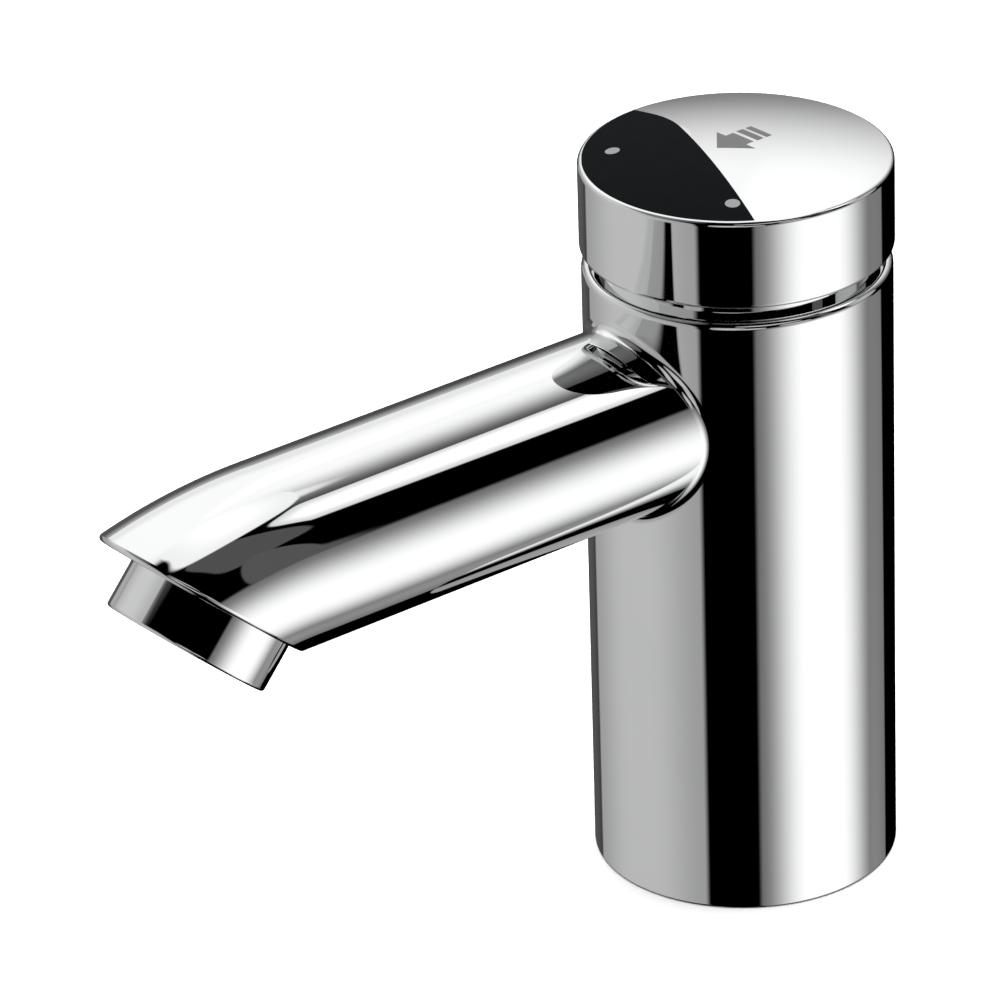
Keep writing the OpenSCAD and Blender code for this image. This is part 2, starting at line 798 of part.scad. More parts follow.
module push_cap() {
    under_h = cap_under_z - boss_z + cut;
    color(chrome) difference() {
        union() {
            difference() {
                rotate_extrude() cap_section();
                bar(skirt_r, cap_z - cut, cap_under_z - cap_z + cut);
            }
            bar(boss_r, boss_z, under_h);
            // Ribs that turn the rotor and slide in its slots
            for (k = [0:rib_count - 1]) rotate(rib_turn + k * 360 / rib_count)
                translate([-rib_w / 2, boss_r - cut, boss_z])
                    cube([rib_w, rotor_r - boss_r, under_h]);
        }
        bar(stem_r + seat_gap, boss_z - cut, stem_top_z - boss_z + seat_gap + cut);
        bar(stem_r + clip_wire_d / 2 + seat_gap, clip_z - clip_groove_h / 2, clip_groove_h);
        rotate(marks_turn) translate([0, 0, inlay_z])
            linear_extrude(inlay_t + cap_dome + cut) inlay_outline(0);
    }
}

module cap_clip() {
    opening = 30;
    color(steel) rotate(opening) rotate_extrude(angle = 360 - 2 * opening)
        translate([stem_r, clip_z]) circle(d = clip_wire_d, $fn = 24);
}

module cap_inlay() {
    color(black_plastic) rotate(marks_turn) difference() {
        intersection() {
            translate([0, 0, inlay_z]) linear_extrude(inlay_t + cap_dome) inlay_outline(seat_gap);
            under_dome();
        }
        dot_pins(dot_d);
    }
}

module temperature_dots() {
    color(grey_plastic) rotate(marks_turn) intersection() {
        dot_pins(dot_d - 2 * seat_gap);
        under_dome();
    }
}

// Aerator: threaded housing, jet former, screen and washer

aerator_thread_r = aerator_thread_d / 2 - seat_gap;
aerator_r = aerator_thread_d / 2 + aerator_collar;
aerator_bore_r = aerator_thread_r - aerator_wall;
aerator_lip_r = aerator_bore_r - 0.8;
aerator_lip_t = 1;
aerator_edge_r = 0.5;
washer_h = 1.8;
washer_w = 3;
aerator_thread_h = aerator_seat_h - washer_h;
screen_z = aerator_lip_t - aerator_h;
screen_t = 1.2;

module aerator_housing() {
    color(chrome) at_outlet() difference() {
        union() {
            translate([0, 0, -aerator_h]) rotate_extrude() difference() {
                square([aerator_r, aerator_h]);
                translate([aerator_r - aerator_edge_r, aerator_edge_r])
                    mirror([0, 1]) corner_cut(aerator_edge_r);
            }
            bar(aerator_thread_r, -cut, aerator_thread_h + cut);
        }
        bar(aerator_bore_r, screen_z, aerator_thread_h - screen_z + cut);
        bar(aerator_lip_r, -aerator_h - cut, aerator_h);
    }
}

// A honeycomb disc that rests on the housing's lip
module aerator_screen() {
    rows = ceil(aerator_lip_r / cell_pitch);
    cell_r = 0.46 * cell_pitch;
    color(grey_plastic) at_outlet() difference() {
        bar(aerator_bore_r - seat_gap, screen_z, screen_t);
        for (i = [-rows:rows], j = [-rows:rows]) {
            place = cell_pitch * [i + j / 2, j * sqrt(3) / 2, 0];
            if (norm(place) < aerator_lip_r - cell_pitch / 2)
                translate(place + [0, 0, screen_z - cut]) rotate(30)
                    cylinder(r = cell_r, h = screen_t + 2 * cut, $fn = 6);
        }
    }
}

// A cup whose thick top has a ring of jets
module aerator_insert() {
    z = screen_z + screen_t;
    h = aerator_thread_h - z;
    wall = 1.6;
    top_t = 2.5;
    jets = 10;
    jet_r = 0.8;
    color(white_plastic) at_outlet() difference() {
        bar(aerator_bore_r - seat_gap, z, h);
        bar(aerator_bore_r - wall, z - cut, h - top_t + cut);
        for (k = [1:jets]) rotate(k * 360 / jets)
            translate([aerator_bore_r / 2, 0, 0]) bar(jet_r, z, h + cut);
    }
}

module aerator_washer() {
    color(rubber) at_outlet() tube(aerator_thread_r - washer_w, aerator_thread_r, aerator_thread_h, washer_h);
}

tap_body();
inlet_block();
block_o_ring();
inlet_strainers();
inlet_seals();
deck_o_ring();
neck_ring();
temperature_stop_ring();
cartridge_housing();
housing_o_rings();
cartridge_bottom();
fixed_disc();
turning_disc();
mixing_rotor();
rotor_o_rings();
timing_cover();
cover_o_ring();
cover_circlip();
stem_o_ring();
timing_screw();
push_stem();
timing_piston();
piston_lip_seal();
return_spring();
valve_seal();
valve_washer();
valve_screw();
push_cap();
cap_clip();
cap_inlay();
temperature_dots();
aerator_housing();
aerator_insert();
aerator_screen();
aerator_washer();
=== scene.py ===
import math

import bpy
import numpy as np
from mathutils import Matrix, Vector


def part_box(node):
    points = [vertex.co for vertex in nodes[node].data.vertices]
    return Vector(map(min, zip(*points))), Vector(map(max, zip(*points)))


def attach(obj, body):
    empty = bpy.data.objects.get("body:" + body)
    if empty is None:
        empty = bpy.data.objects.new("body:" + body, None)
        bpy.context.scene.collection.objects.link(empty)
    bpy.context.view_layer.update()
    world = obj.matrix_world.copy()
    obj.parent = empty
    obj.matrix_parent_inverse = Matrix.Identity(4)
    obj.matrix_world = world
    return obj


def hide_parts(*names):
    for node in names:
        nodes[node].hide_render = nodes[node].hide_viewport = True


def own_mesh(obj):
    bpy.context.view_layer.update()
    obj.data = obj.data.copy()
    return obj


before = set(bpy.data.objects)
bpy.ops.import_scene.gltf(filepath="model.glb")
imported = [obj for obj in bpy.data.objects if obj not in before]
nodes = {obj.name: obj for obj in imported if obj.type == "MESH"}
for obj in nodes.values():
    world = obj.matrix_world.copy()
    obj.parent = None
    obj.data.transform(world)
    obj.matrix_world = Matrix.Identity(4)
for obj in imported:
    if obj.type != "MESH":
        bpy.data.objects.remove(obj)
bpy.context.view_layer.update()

MM = 0.001
scene = bpy.context.scene

# Sizes of the body and its spout, in metres
tap_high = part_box("tap_body")[1]
body_r = tap_high.x
rim_z = tap_high.z
rim_edge_r = 1.2 * MM
foot_edge_r = 0.6 * MM
foot_r = body_r - 3.5 * MM
housing_fit = 0.05 * MM
chamber_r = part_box("cartridge_housing")[1].x + housing_fit
block_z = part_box("inlet_block")[0].z
ledge_z = block_z - 4 * MM
ledge_r = chamber_r - 2.6 * MM
seal_r = body_r - (body_r - foot_r) / 2
seal_half = 0.8 * MM
seal_depth = 1.55 * MM
spout_r = 14.8 * MM
spout_z = rim_z - 20.5 * MM
bend_start = 90.6 * MM
bend_r = 81 * MM
fillet_r = 2 * MM
end_edge_r = 0.7 * MM
waterway_r = 8 * MM
waterway_bend = 75 * MM
waterway_pull = 10 * MM
outlet = np.array([0, -101.9 * MM, spout_z - 3.6 * MM])
outlet_tilt = math.radians(40.7)
jet = np.array([0, -math.sin(outlet_tilt), -math.cos(outlet_tilt)])
outlet_up = np.array([0, -math.cos(outlet_tilt), math.sin(outlet_tilt)])
seat_r = 12 * MM
seat_depth = 8 * MM

# Sizes of the cap and its marks
cap_low, cap_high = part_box("push_cap")
cap_r = cap_high.x
cap_z = cap_low.z
cap_top_z = cap_high.z
cap_dome = 2.2 * MM
cap_edge_r = 0.8 * MM
cap_under_z = cap_top_z - cap_dome - 3.2 * MM
dome_r = (cap_r ** 2 + cap_dome ** 2) / (2 * cap_dome)
print_t = 0.02 * MM
dome_z = cap_top_z - print_t - dome_r
skirt_r = body_r - 2 * MM
stem_r = 3 * MM
stem_top_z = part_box("push_stem")[1].z
boss_r = 6 * MM
boss_z = rim_z + 4.5 * MM
rib_half = 1.5 * MM
rib_end = 14.4 * MM
inlay_z = cap_top_z - cap_dome - 1.4 * MM
inlay_r = cap_r - 0.7 * MM
inlay_front = 5.8 * MM
inlay_slant = math.radians(23)
inlay_level = -0.6 * MM
inlay_sweep_r = 20 * MM
marks_turn = math.radians(3)

X = np.array([1.0, 0, 0])
Y = np.array([0, 1.0, 0])
Z = np.array([0, 0, 1.0])
# Points are taken as one when they agree to a hundred-millionth of a metre
GRID = 1e8


# Meshes with exact normals

class Skin:
    """Faces between rings of points, each corner with the true normal of its surface."""

    def __init__(self):
        self.points = []
        self.index = {}
        self.faces = []
        self.normals = []

    def place(self, point):
        key = tuple(int(round(c * GRID)) for c in point)
        if key not in self.index:
            self.index[key] = len(self.points)
            self.points.append(tuple(point))
        return self.index[key]

    def rings(self, points, normals, closed=True):
        """Adds the bands between neighbouring rings; both arrays have a row for each ring."""
        points, normals = np.asarray(points), np.asarray(normals)
        count = points.shape[1]
        for k in range(len(points) - 1):
            for j in range(count if closed else count - 1):
                corners = [(k, j), (k, (j + 1) % count), (k + 1, (j + 1) % count), (k + 1, j)]
                self.face([points[c] for c in corners], [normals[c] for c in corners])

    def bands(self, pairs, closed=True):
        """The same, from a pair of points and normals for each ring."""
        points, normals = zip(*pairs)
        self.rings(points, normals, closed)

    def face(self, points, normals):
        """Adds one face, turned so that it looks the way its normals point."""
        kept = {}
        for p, n in zip(points, normals):
            kept.setdefault(self.place(p), n)
        if len(kept) < 3:
            return
        ids = list(kept)
        a, b, c = (np.array(self.points[i]) for i in ids[:3])
        d = np.array(self.points[ids[-1]])
        turn = np.cross(c - a, d - b) if len(ids) == 4 else np.cross(b - a, c - a)
        if np.dot(turn, sum(kept.values())) < 0:
            ids.reverse()
        self.faces.append(ids)
        self.normals.extend(kept[i] for i in ids)

    def make(self, name, body, slot):
        mesh = bpy.data.meshes.new(name)
        mesh.from_pydata(self.points, [], self.faces)
        mesh.shade_smooth()
        mesh.normals_split_custom_set([tuple(n / np.linalg.norm(n)) for n in self.normals])
        piece = bpy.data.objects.new(name, mesh)
        scene.collection.objects.link(piece)
        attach(piece, body)
        return piece


def round_section(r, z, turns, normal_r, normal_z):
    """A ring of points at a radius and height, and its normals, given by their share outwards and upwards."""
    out = np.stack([np.sin(turns), -np.cos(turns), 0 * turns], 1)
    return out * r + Z * z, out * normal_r + Z * normal_z


def lathe(skin, turns, profile):
    """Bands between neighbouring points (radius, height) of an outline, each band flat or straight.
    The material lies on the left of the outline as it goes."""
    for (r0, z0), (r1, z1) in zip(profile, profile[1:]):
        long = math.hypot(r1 - r0, z1 - z0)
        normal = ((z1 - z0) / long, (r0 - r1) / long)
        skin.bands([round_section(r, z, turns, *normal) for r, z in ((r0, z0), (r1, z1))])


def round_edge(skin, turns, r, z, size, start, end, steps=8):
    """A band that rounds an edge, about a centre at radius r and height z, between two angles."""
    angles = np.radians(np.linspace(start, end, steps + 1))
    skin.bands([round_section(r + size * math.cos(a), z + size * math.sin(a), turns, math.cos(a), math.sin(a))
                for a in angles])


# The body's casting: a round body, a spout that bends down, and a fillet between them

ACROSS, UPWARDS = 96, 32
side_counts = [ACROSS, UPWARDS, ACROSS, UPWARDS]
side_angles = np.radians([150, 30, -30, -150, -210])
spout_angles = np.concatenate([np.linspace(a, b, n, endpoint=False)
                               for a, b, n in zip(side_angles, side_angles[1:], side_counts)])
body_turns = np.linspace(-math.pi, math.pi, ACROSS, endpoint=False)


def wall_border(low, high):
    """Turn and height of points round the border of an unrolled wall, in step with the spout's angles."""
    t, u = np.arange(ACROSS) / ACROSS, np.arange(UPWARDS) / UPWARDS
    turn = np.concatenate([2 * t - 1, 1 + 0 * u, 1 - 2 * t, 0 * u - 1]) * math.pi
    height = np.concatenate([high + 0 * t, high + (low - high) * u, low + 0 * t, low + (high - low) * u])
    return turn, height


def wall_with_hole(skin, r, low, high, hole, facing, steps=40):
    """A round wall with a hole in it, from the hole's edge out to the border of the wall."""
    hole_turn = np.arctan2(hole[:, 0], -hole[:, 1])
    turn, height = wall_border(low, high)
    points, normals = [], []
    for w in np.linspace(0, 1, steps + 1):
        at = hole_turn + (turn - hole_turn) * w
        z = hole[:, 2] + (height - hole[:, 2]) * w
        out = np.stack([np.sin(at), -np.cos(at), 0 * at], 1)
        points.append(out * r + z[:, None] * Z)
        normals.append(out * facing)
    skin.rings(points, normals)


def on_spout(along, angle, r):
    """Points at distances along the spout and angles round it, and the directions out from its axis."""
    bend = np.maximum(0, along - bend_start) / bend_r
    straight = np.minimum(along, bend_start)
    up = np.stack([0 * bend, -np.sin(bend), np.cos(bend)], -1)
    axis = np.stack([0 * bend, -straight - bend_r * np.sin(bend), spout_z - bend_r * (1 - np.cos(bend))], -1)
    out = np.cos(angle)[..., None] * X + np.sin(angle)[..., None] * up
    return axis + r * out, out


def spout_end(angle, r, depth):
    """Distances along the spout at which lines at radius r come within a depth of the slanted end."""
    up = r * np.sin(angle)
    middle = np.array([0, -bend_start, spout_z - bend_r])
    turn = np.arccos(((middle - outlet) @ jet + depth) / (bend_r + up)) - outlet_tilt
    drop = up + spout_z - outlet[2]
    straight = -outlet[1] + (drop * math.cos(outlet_tilt) - depth) / math.sin(outlet_tilt)
    return np.where(turn > 0, bend_start + bend_r * turn, straight)


def between(a, b, share):
    """Directions between two fields of directions."""
    angle = np.arccos(np.clip((a * b).sum(1), -1, 1))[:, None]
    return (np.sin((1 - share) * angle) * a + np.sin(share * angle) * b) / np.sin(angle)


def fillet(skin, steps=12):
    """The fillet follows a ball that touches spout and body. Returns its edges on both."""
    ball_x = (spout_r + fillet_r) * np.cos(spout_angles)
    ball_y = -np.sqrt((body_r + fillet_r) ** 2 - ball_x ** 2)
    ball = np.stack([ball_x, ball_y, spout_z + (spout_r + fillet_r) * np.sin(spout_angles)], 1)
    to_spout = -np.stack([np.cos(spout_angles), 0 * spout_angles, np.sin(spout_angles)], 1)
    to_body = -np.stack([ball_x, ball_y, 0 * ball_x], 1) / (body_r + fillet_r)
    ways = [between(to_spout, to_body, t) for t in np.linspace(0, 1, steps + 1)]
    skin.rings([ball + fillet_r * w for w in ways], [-w for w in ways])
    return ball + fillet_r * to_spout, ball + fillet_r * to_body


def spout_outside(skin, root, straight_steps=4, bent_steps=24, edge_steps=6):
    """The tube from the fillet to the slanted end, its rounded edge, and the end's face round the seat.
    The tube's last quarter, with the bend, has finer steps."""
    edge_along = spout_end(spout_angles, spout_r - end_edge_r, end_edge_r)
    bent_share = 0.75
    shares = np.concatenate([np.linspace(0, bent_share, straight_steps, endpoint=False),
                             np.linspace(bent_share, 1, bent_steps)])
    start = -root[:, 1]
    skin.bands([on_spout(start + (edge_along - start) * t, spout_angles, spout_r) for t in shares])
    centre, out = on_spout(edge_along, spout_angles, spout_r - end_edge_r)
    end = np.tile(jet, (len(out), 1))
    ways = [between(out, end, t) for t in np.linspace(0, 1, edge_steps + 1)]
    skin.rings([centre + end_edge_r * w for w in ways], ways)
    skin.rings([centre + end_edge_r * end, seat_ring(seat_r, 0)], [end, end])


def seat_ring(r, depth):
    """A ring round the outlet's axis, at a depth behind the slanted end."""
    out = np.cos(spout_angles)[:, None] * X + np.sin(spout_angles)[:, None] * outlet_up
    return outlet - depth * jet + r * out


def spout_inside(skin, hole, steps=10):
    """The aerator's seat and the water way that leads from it to the chamber's wall."""
    wall = outlet - seat_ring(1, 0)
    skin.rings([seat_ring(seat_r, 0), seat_ring(seat_r, seat_depth)], [wall, wall])
    floor = np.tile(jet, (len(wall), 1))
    mouth = seat_ring(waterway_r, seat_depth)
    skin.rings([seat_ring(seat_r, seat_depth), mouth], [floor, floor])
    bend, _ = on_spout(np.full_like(spout_angles, waterway_bend), spout_angles, waterway_r)
    mouth_pull, bend_pull = mouth - waterway_pull * jet, bend - waterway_pull * Y
    rings = []
    for t in np.linspace(0, 1, steps + 1):
        a, b, c, d = (1 - t) ** 3, 3 * t * (1 - t) ** 2, 3 * t * t * (1 - t), t ** 3
        rings.append(a * mouth + b * mouth_pull + c * bend_pull + d * bend)
    inwards = -(np.cos(spout_angles)[:, None] * X + np.sin(spout_angles)[:, None] * Z)
    skin.rings(rings, [inwards] * len(rings))
    skin.rings([bend, hole], [inwards, inwards])


def tap_casting():
    skin = Skin()
    root, hole = fillet(skin)
    wall_with_hole(skin, body_r, foot_edge_r, rim_z - rim_edge_r, hole, 1)
    spout_outside(skin, root)
    across = waterway_r * np.cos(spout_angles)
    inner_hole = np.stack([across, -np.sqrt(chamber_r ** 2 - across ** 2),
                           spout_z + waterway_r * np.sin(spout_angles)], 1)
    wall_with_hole(skin, chamber_r, block_z, rim_z, inner_hole, -1, steps=12)
    spout_inside(skin, inner_hole)
    round_edge(skin, body_turns, body_r - rim_edge_r, rim_z - rim_edge_r, rim_edge_r, 0, 90)
    round_edge(skin, body_turns, body_r - foot_edge_r, foot_edge_r, foot_edge_r, 0, -90)
    lathe(skin, body_turns, [(body_r - rim_edge_r, rim_z), (chamber_r, rim_z)])
    lathe(skin, body_turns, [
        (chamber_r, block_z), (ledge_r, block_z), (ledge_r, ledge_z), (foot_r, ledge_z), (foot_r, 0),
        (seal_r - seal_half, 0), (seal_r - seal_half, seal_depth), (seal_r + seal_half, seal_depth),
        (seal_r + seal_half, 0), (body_r - foot_edge_r, 0)])
    casting = skin.make("body_casting", "tap", "chrome")
    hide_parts("tap_body")
    return casting


# The cap: a domed shell with a pocket for the black inlay, and a boss and ribs inside

def on_dome(across, front):
    """Points and normals of the dome, to the right of the axis and in front of it, turned with the marks."""
    c, s = math.cos(marks_turn), math.sin(marks_turn)
    x, y = across * c + front * s, across * s - front * c
    point = np.stack([x, y, dome_z + np.sqrt(dome_r ** 2 - x * x - y * y)], -1)
    return point, (point - dome_z * Z) / dome_r


def inlay_edge(across):
    """How far in front of the axis the inlay's edge lies: slanted, with a sweep to a level far end."""
    slanted = inlay_front + across * math.tan(inlay_slant)
    corner = (inlay_level - inlay_front) / math.tan(inlay_slant)
    middle = corner - inlay_sweep_r * math.tan(inlay_slant / 2)
    into = np.clip(across - middle, 0, inlay_sweep_r * math.sin(inlay_slant))
    sweep = inlay_level + inlay_sweep_r - np.sqrt(inlay_sweep_r ** 2 - into ** 2)
    return np.where(across - middle > into, slanted, sweep)


def edge_ends():
    """The two points at which the inlay's edge meets the circle round it."""
    t = math.tan(inlay_slant)
    half = math.sqrt((inlay_front * t) ** 2 + (1 + t * t) * (inlay_r ** 2 - inlay_front ** 2))
    return -math.sqrt(inlay_r ** 2 - inlay_level ** 2), (half - inlay_front * t) / (1 + t * t)


def flat(points, z):
    """The same points, all at one height."""
    return np.concatenate([points[:, :2], np.full((len(points), 1), z)], 1)


def cap_top(skin, steps=64, back_steps=24):
    """The dome behind the inlay, and the inlay's pocket. Returns the turns of the points on its outline."""
    left, right = edge_ends()
    across = np.linspace(left, right, steps + 1)
    front = inlay_edge(across)
    turn_left, turn_right = (math.atan2(x, inlay_edge(np.array(x))) for x in (left, right))
    back_arc = np.linspace(turn_left + 2 * math.pi, turn_right, steps + 1)
    front_arc = np.linspace(turn_left, turn_right, steps + 1)
    edge, _ = on_dome(across, front)
    back_across, back_front = inlay_r * np.sin(back_arc), inlay_r * np.cos(back_arc)
    skin.bands([on_dome(across + (back_across - across) * w, front + (back_front - front) * w)
                for w in np.linspace(0, 1, back_steps + 1)], closed=False)
    along = np.gradient(edge, axis=0)
    to_front = np.cross(along, Z)
    skin.rings([edge, flat(edge, inlay_z)], [to_front, to_front], closed=False)
    arc, out = on_dome(inlay_r * np.sin(front_arc), inlay_r * np.cos(front_arc))
    inwards = flat(-out, 0)
    skin.rings([arc, flat(arc, inlay_z)], [inwards, inwards], closed=False)
    up = np.tile(Z, (steps + 1, 1))
    skin.rings([flat(edge, inlay_z), flat(arc, inlay_z)], [up, up], closed=False)
    return np.concatenate([front_arc[:-1], back_arc[:0:-1]]) + marks_turn


def rib(skin, turn):
    """A plain block from the boss outwards, under the cap's top."""
    out = np.array([math.sin(turn), -math.cos(turn), 0])
    side = np.cross(Z, out)
    near, far = [[[r * out + w * side + z * Z for z in (boss_z, cap_under_z)] for w in (-rib_half, rib_half)]
                 for r in (boss_r - rib_half, rib_end)]
    faces = [((far[0][0], far[1][0], far[1][1], far[0][1]), out),
             ((near[0][0], far[0][0], far[1][0], near[1][0]), -Z)]
    faces += [((near[w][0], far[w][0], far[w][1], near[w][1]), side * (2 * w - 1)) for w in (0, 1)]
    for points, normal in faces:
        skin.face(points, [normal] * 4)


def push_cap(ribs=4):
    skin = Skin()
    turns = cap_top(skin)
    edge_x = cap_r - cap_edge_r
    edge_z = math.sqrt((dome_r - cap_edge_r) ** 2 - edge_x ** 2) + dome_z
    meet = math.atan2(edge_z - dome_z, edge_x)
    skin.bands([on_dome(r * np.sin(turns - marks_turn), r * np.cos(turns - marks_turn))
                for r in (inlay_r, dome_r * math.cos(meet))])
    round_edge(skin, turns, edge_x, edge_z, cap_edge_r, 0, math.degrees(meet))
    round_edge(skin, turns, edge_x, cap_z + cap_edge_r, cap_edge_r, 0, -90)
    lathe(skin, turns, [(cap_r, cap_z + cap_edge_r), (cap_r, edge_z)])
    lathe(skin, turns, [(0, stem_top_z), (stem_r, stem_top_z), (stem_r, boss_z), (boss_r, boss_z),
                        (boss_r, cap_under_z), (skirt_r, cap_under_z), (skirt_r, cap_z), (edge_x, cap_z)])
    for k in range(ribs):
        rib(skin, (k + 0.5) * 2 * math.pi / ribs)
    cap = skin.make("cap_shell", "button", "chrome")
    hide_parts("push_cap")
    return cap


# The return spring: a round wire wound from the valve seat up to the piston

def wound_spring(turns=5, turn_steps=36, sides=16):
    skin = Skin()
    low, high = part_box("return_spring")
    wire_r = 0.8 * MM
    coil_r = high.x - wire_r
    at = np.linspace(0, turns * 2 * math.pi, turns * turn_steps + 1)
    middle_z = np.linspace(low.z + wire_r, high.z - wire_r, len(at))
    out = np.stack([np.cos(at), np.sin(at), 0 * at], 1)
    ways = np.array([[math.cos(a) * o + math.sin(a) * Z for a in np.arange(sides) * 2 * math.pi / sides]
                     for o in out])
    rings = (coil_r * out + middle_z[:, None] * Z)[:, None] + wire_r * ways
    skin.rings(rings, ways)
    for ring, end in ((rings[0], np.cross(out[0], Z)), (rings[-1], np.cross(Z, out[-1]))):
        skin.face(ring, [end] * sides)
    spring = skin.make("wound_spring", "tap", "steel")
    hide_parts("return_spring")
    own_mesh(spring)
    return spring


# The printed arrow on the cap: a head that points to the spout, a short shaft, and two stripes behind it

ARROW_MIDDLE = -0.9 * MM
# Each strip from front to back: distance in front of the axis and half width, at its front and at its back
ARROW_STRIPS = [(3.0, 0.02, -0.95, 4.3), (-0.95, 2.25, -2.5, 2.25), (-3.25, 2.35, -4.55, 2.35),
                (-5.15, 2.35, -6.25, 2.35)]


def cap_arrow(steps=12):
    """Thin ink that follows the dome."""
    skin = Skin()
    for front, half, back, back_half in np.array(ARROW_STRIPS) * MM:
        low, normal = [], []
        for w in np.linspace(0, 1, steps + 1):
            wide = half + (back_half - half) * w
            across = ARROW_MIDDLE + np.linspace(-wide, wide, steps + 1)
            points, out = on_dome(across, np.full_like(across, front + (back - front) * w))
            low.append(points)
            normal.append(out)
        low, normal = np.array(low), np.array(normal)
        high = low + print_t * normal
        skin.rings(high, normal, closed=False)
        for part in (np.s_[0, :], np.s_[-1, :], np.s_[:, 0], np.s_[:, -1]):
            out = low[part] - low.mean((0, 1))
            skin.rings([low[part], high[part]], [out, out], closed=False)
    return skin.make("cap_arrow", "button", "dots")


# Materials

class Shader:
    """A material whose nodes are added one by one."""

    def __init__(self, name):
        self.material = bpy.data.materials.new(name)
        self.material.use_nodes = True
        self.tree = self.material.node_tree
        self.surface = self.tree.nodes["Principled BSDF"]
        self.place = self.tree.nodes.new("ShaderNodeTexCoord").outputs["Object"]

    def noise(self, scale, detail=2.0):
        node = self.tree.nodes.new("ShaderNodeTexNoise")
        node.inputs["Scale"].default_value = scale
        node.inputs["Detail"].default_value = detail
        self.tree.links.new(self.place, node.inputs["Vector"])
        return node.outputs["Fac"]

    def spread(self, source, low, high):
        node = self.tree.nodes.new("ShaderNodeMapRange")
        node.inputs["To Min"].default_value = low
        node.inputs["To Max"].default_value = high
        self.tree.links.new(source, node.inputs["Value"])
        return node.outputs["Result"]

    def colours(self, source, first, second):
        node = self.tree.nodes.new("ShaderNodeMix")
        node.data_type = "RGBA"
        node.inputs["A"].default_value = (*first, 1)
        node.inputs["B"].default_value = (*second, 1)
        self.tree.links.new(source, node.inputs["Factor"])
        self.tree.links.new(node.outputs["Result"], self.surface.inputs["Base Color"])

    def rough(self, source, low, high):
        self.tree.links.new(self.spread(source, low, high), self.surface.inputs["Roughness"])

    def bump(self, source, depth):
        node = self.tree.nodes.new("ShaderNodeBump")
        node.inputs["Distance"].default_value = depth
        self.tree.links.new(source, node.inputs["Height"])
        self.tree.links.new(node.outputs["Normal"], self.surface.inputs["Normal"])


# How much finer than the shades the roughness and the bump vary
ROUGHNESS_GRAIN = 3
BUMP_GRAIN = 8


def finish_of(name, first, second, rough, scale=300, metal=0.0, specular=0.5, bump=0.0):
    """A material with two close shades and a roughness that wander over the surface, and a fine bump."""
    shader = Shader(name)
    shader.surface.inputs["Metallic"].default_value = metal
    shader.surface.inputs["Specular IOR Level"].default_value = specular
    shader.colours(shader.noise(scale), first, second)
    shader.rough(shader.noise(scale * ROUGHNESS_GRAIN), *rough)
    if bump:
        shader.bump(shader.noise(scale * BUMP_GRAIN), bump)
    return shader.material


chrome = finish_of("chrome", (0.83, 0.835, 0.84), (0.87, 0.872, 0.875), (0.012, 0.03), scale=60, metal=1.0)
inlay_black = finish_of("inlay_black", (0.002, 0.0026, 0.003), (0.003, 0.0036, 0.004), (0.42, 0.5),
                        specular=0.01, bump=2e-6)
print_grey = finish_of("print_grey", (0.065, 0.065, 0.065), (0.08, 0.08, 0.08), (0.4, 0.55))
dot_grey = finish_of("dot_grey", (0.13, 0.13, 0.13), (0.16, 0.16, 0.16), (0.3, 0.4))
brass = finish_of("brass", (0.66, 0.47, 0.2), (0.74, 0.55, 0.27), (0.22, 0.36), metal=1.0)
steel = finish_of("steel", (0.55, 0.56, 0.57), (0.63, 0.64, 0.65), (0.2, 0.32), metal=1.0)
ceramic = finish_of("ceramic", (0.82, 0.81, 0.77), (0.87, 0.86, 0.82), (0.12, 0.2))
grey_plastic = finish_of("grey_plastic", (0.2, 0.205, 0.21), (0.25, 0.255, 0.26), (0.35, 0.5), bump=4e-6)
white_plastic = finish_of("white_plastic", (0.78, 0.78, 0.75), (0.83, 0.83, 0.8), (0.35, 0.5), bump=4e-6)
rubber = finish_of("rubber", (0.018, 0.018, 0.019), (0.028, 0.028, 0.029), (0.55, 0.75), bump=8e-6)

MATERIALS = {
    "tap_body": chrome, "inlet_block": brass, "block_o_ring": rubber, "inlet_strainers": steel,
    "inlet_seals": rubber, "deck_o_ring": rubber, "neck_ring": chrome, "temperature_stop_ring": grey_plastic,
    "cartridge_housing": grey_plastic, "housing_o_rings": rubber, "cartridge_bottom": grey_plastic,
    "fixed_disc": ceramic, "turning_disc": ceramic, "mixing_rotor": white_plastic, "rotor_o_rings": rubber,
    "timing_cover": grey_plastic, "cover_o_ring": rubber, "cover_circlip": steel, "stem_o_ring": rubber,
    "timing_screw": brass, "push_stem": brass, "timing_piston": white_plastic, "piston_lip_seal": rubber,
    "return_spring": steel, "valve_seal": rubber, "valve_washer": brass, "valve_screw": steel,
    "push_cap": chrome, "cap_clip": steel, "cap_inlay": inlay_black, "temperature_dots": dot_grey,
    "aerator_housing": chrome, "aerator_insert": white_plastic, "aerator_screen": grey_plastic,
    "aerator_washer": rubber,
}
for name, material in MATERIALS.items():
    slots = nodes[name].data.materials
    slots.clear()
    slots.append(material)

tap_casting().data.materials.append(chrome)
push_cap().data.materials.append(chrome)
cap_arrow().data.materials.append(print_grey)
wound_spring().data.materials.append(steel)


# Studio: soft panels far off, a pale floor and a soft light above

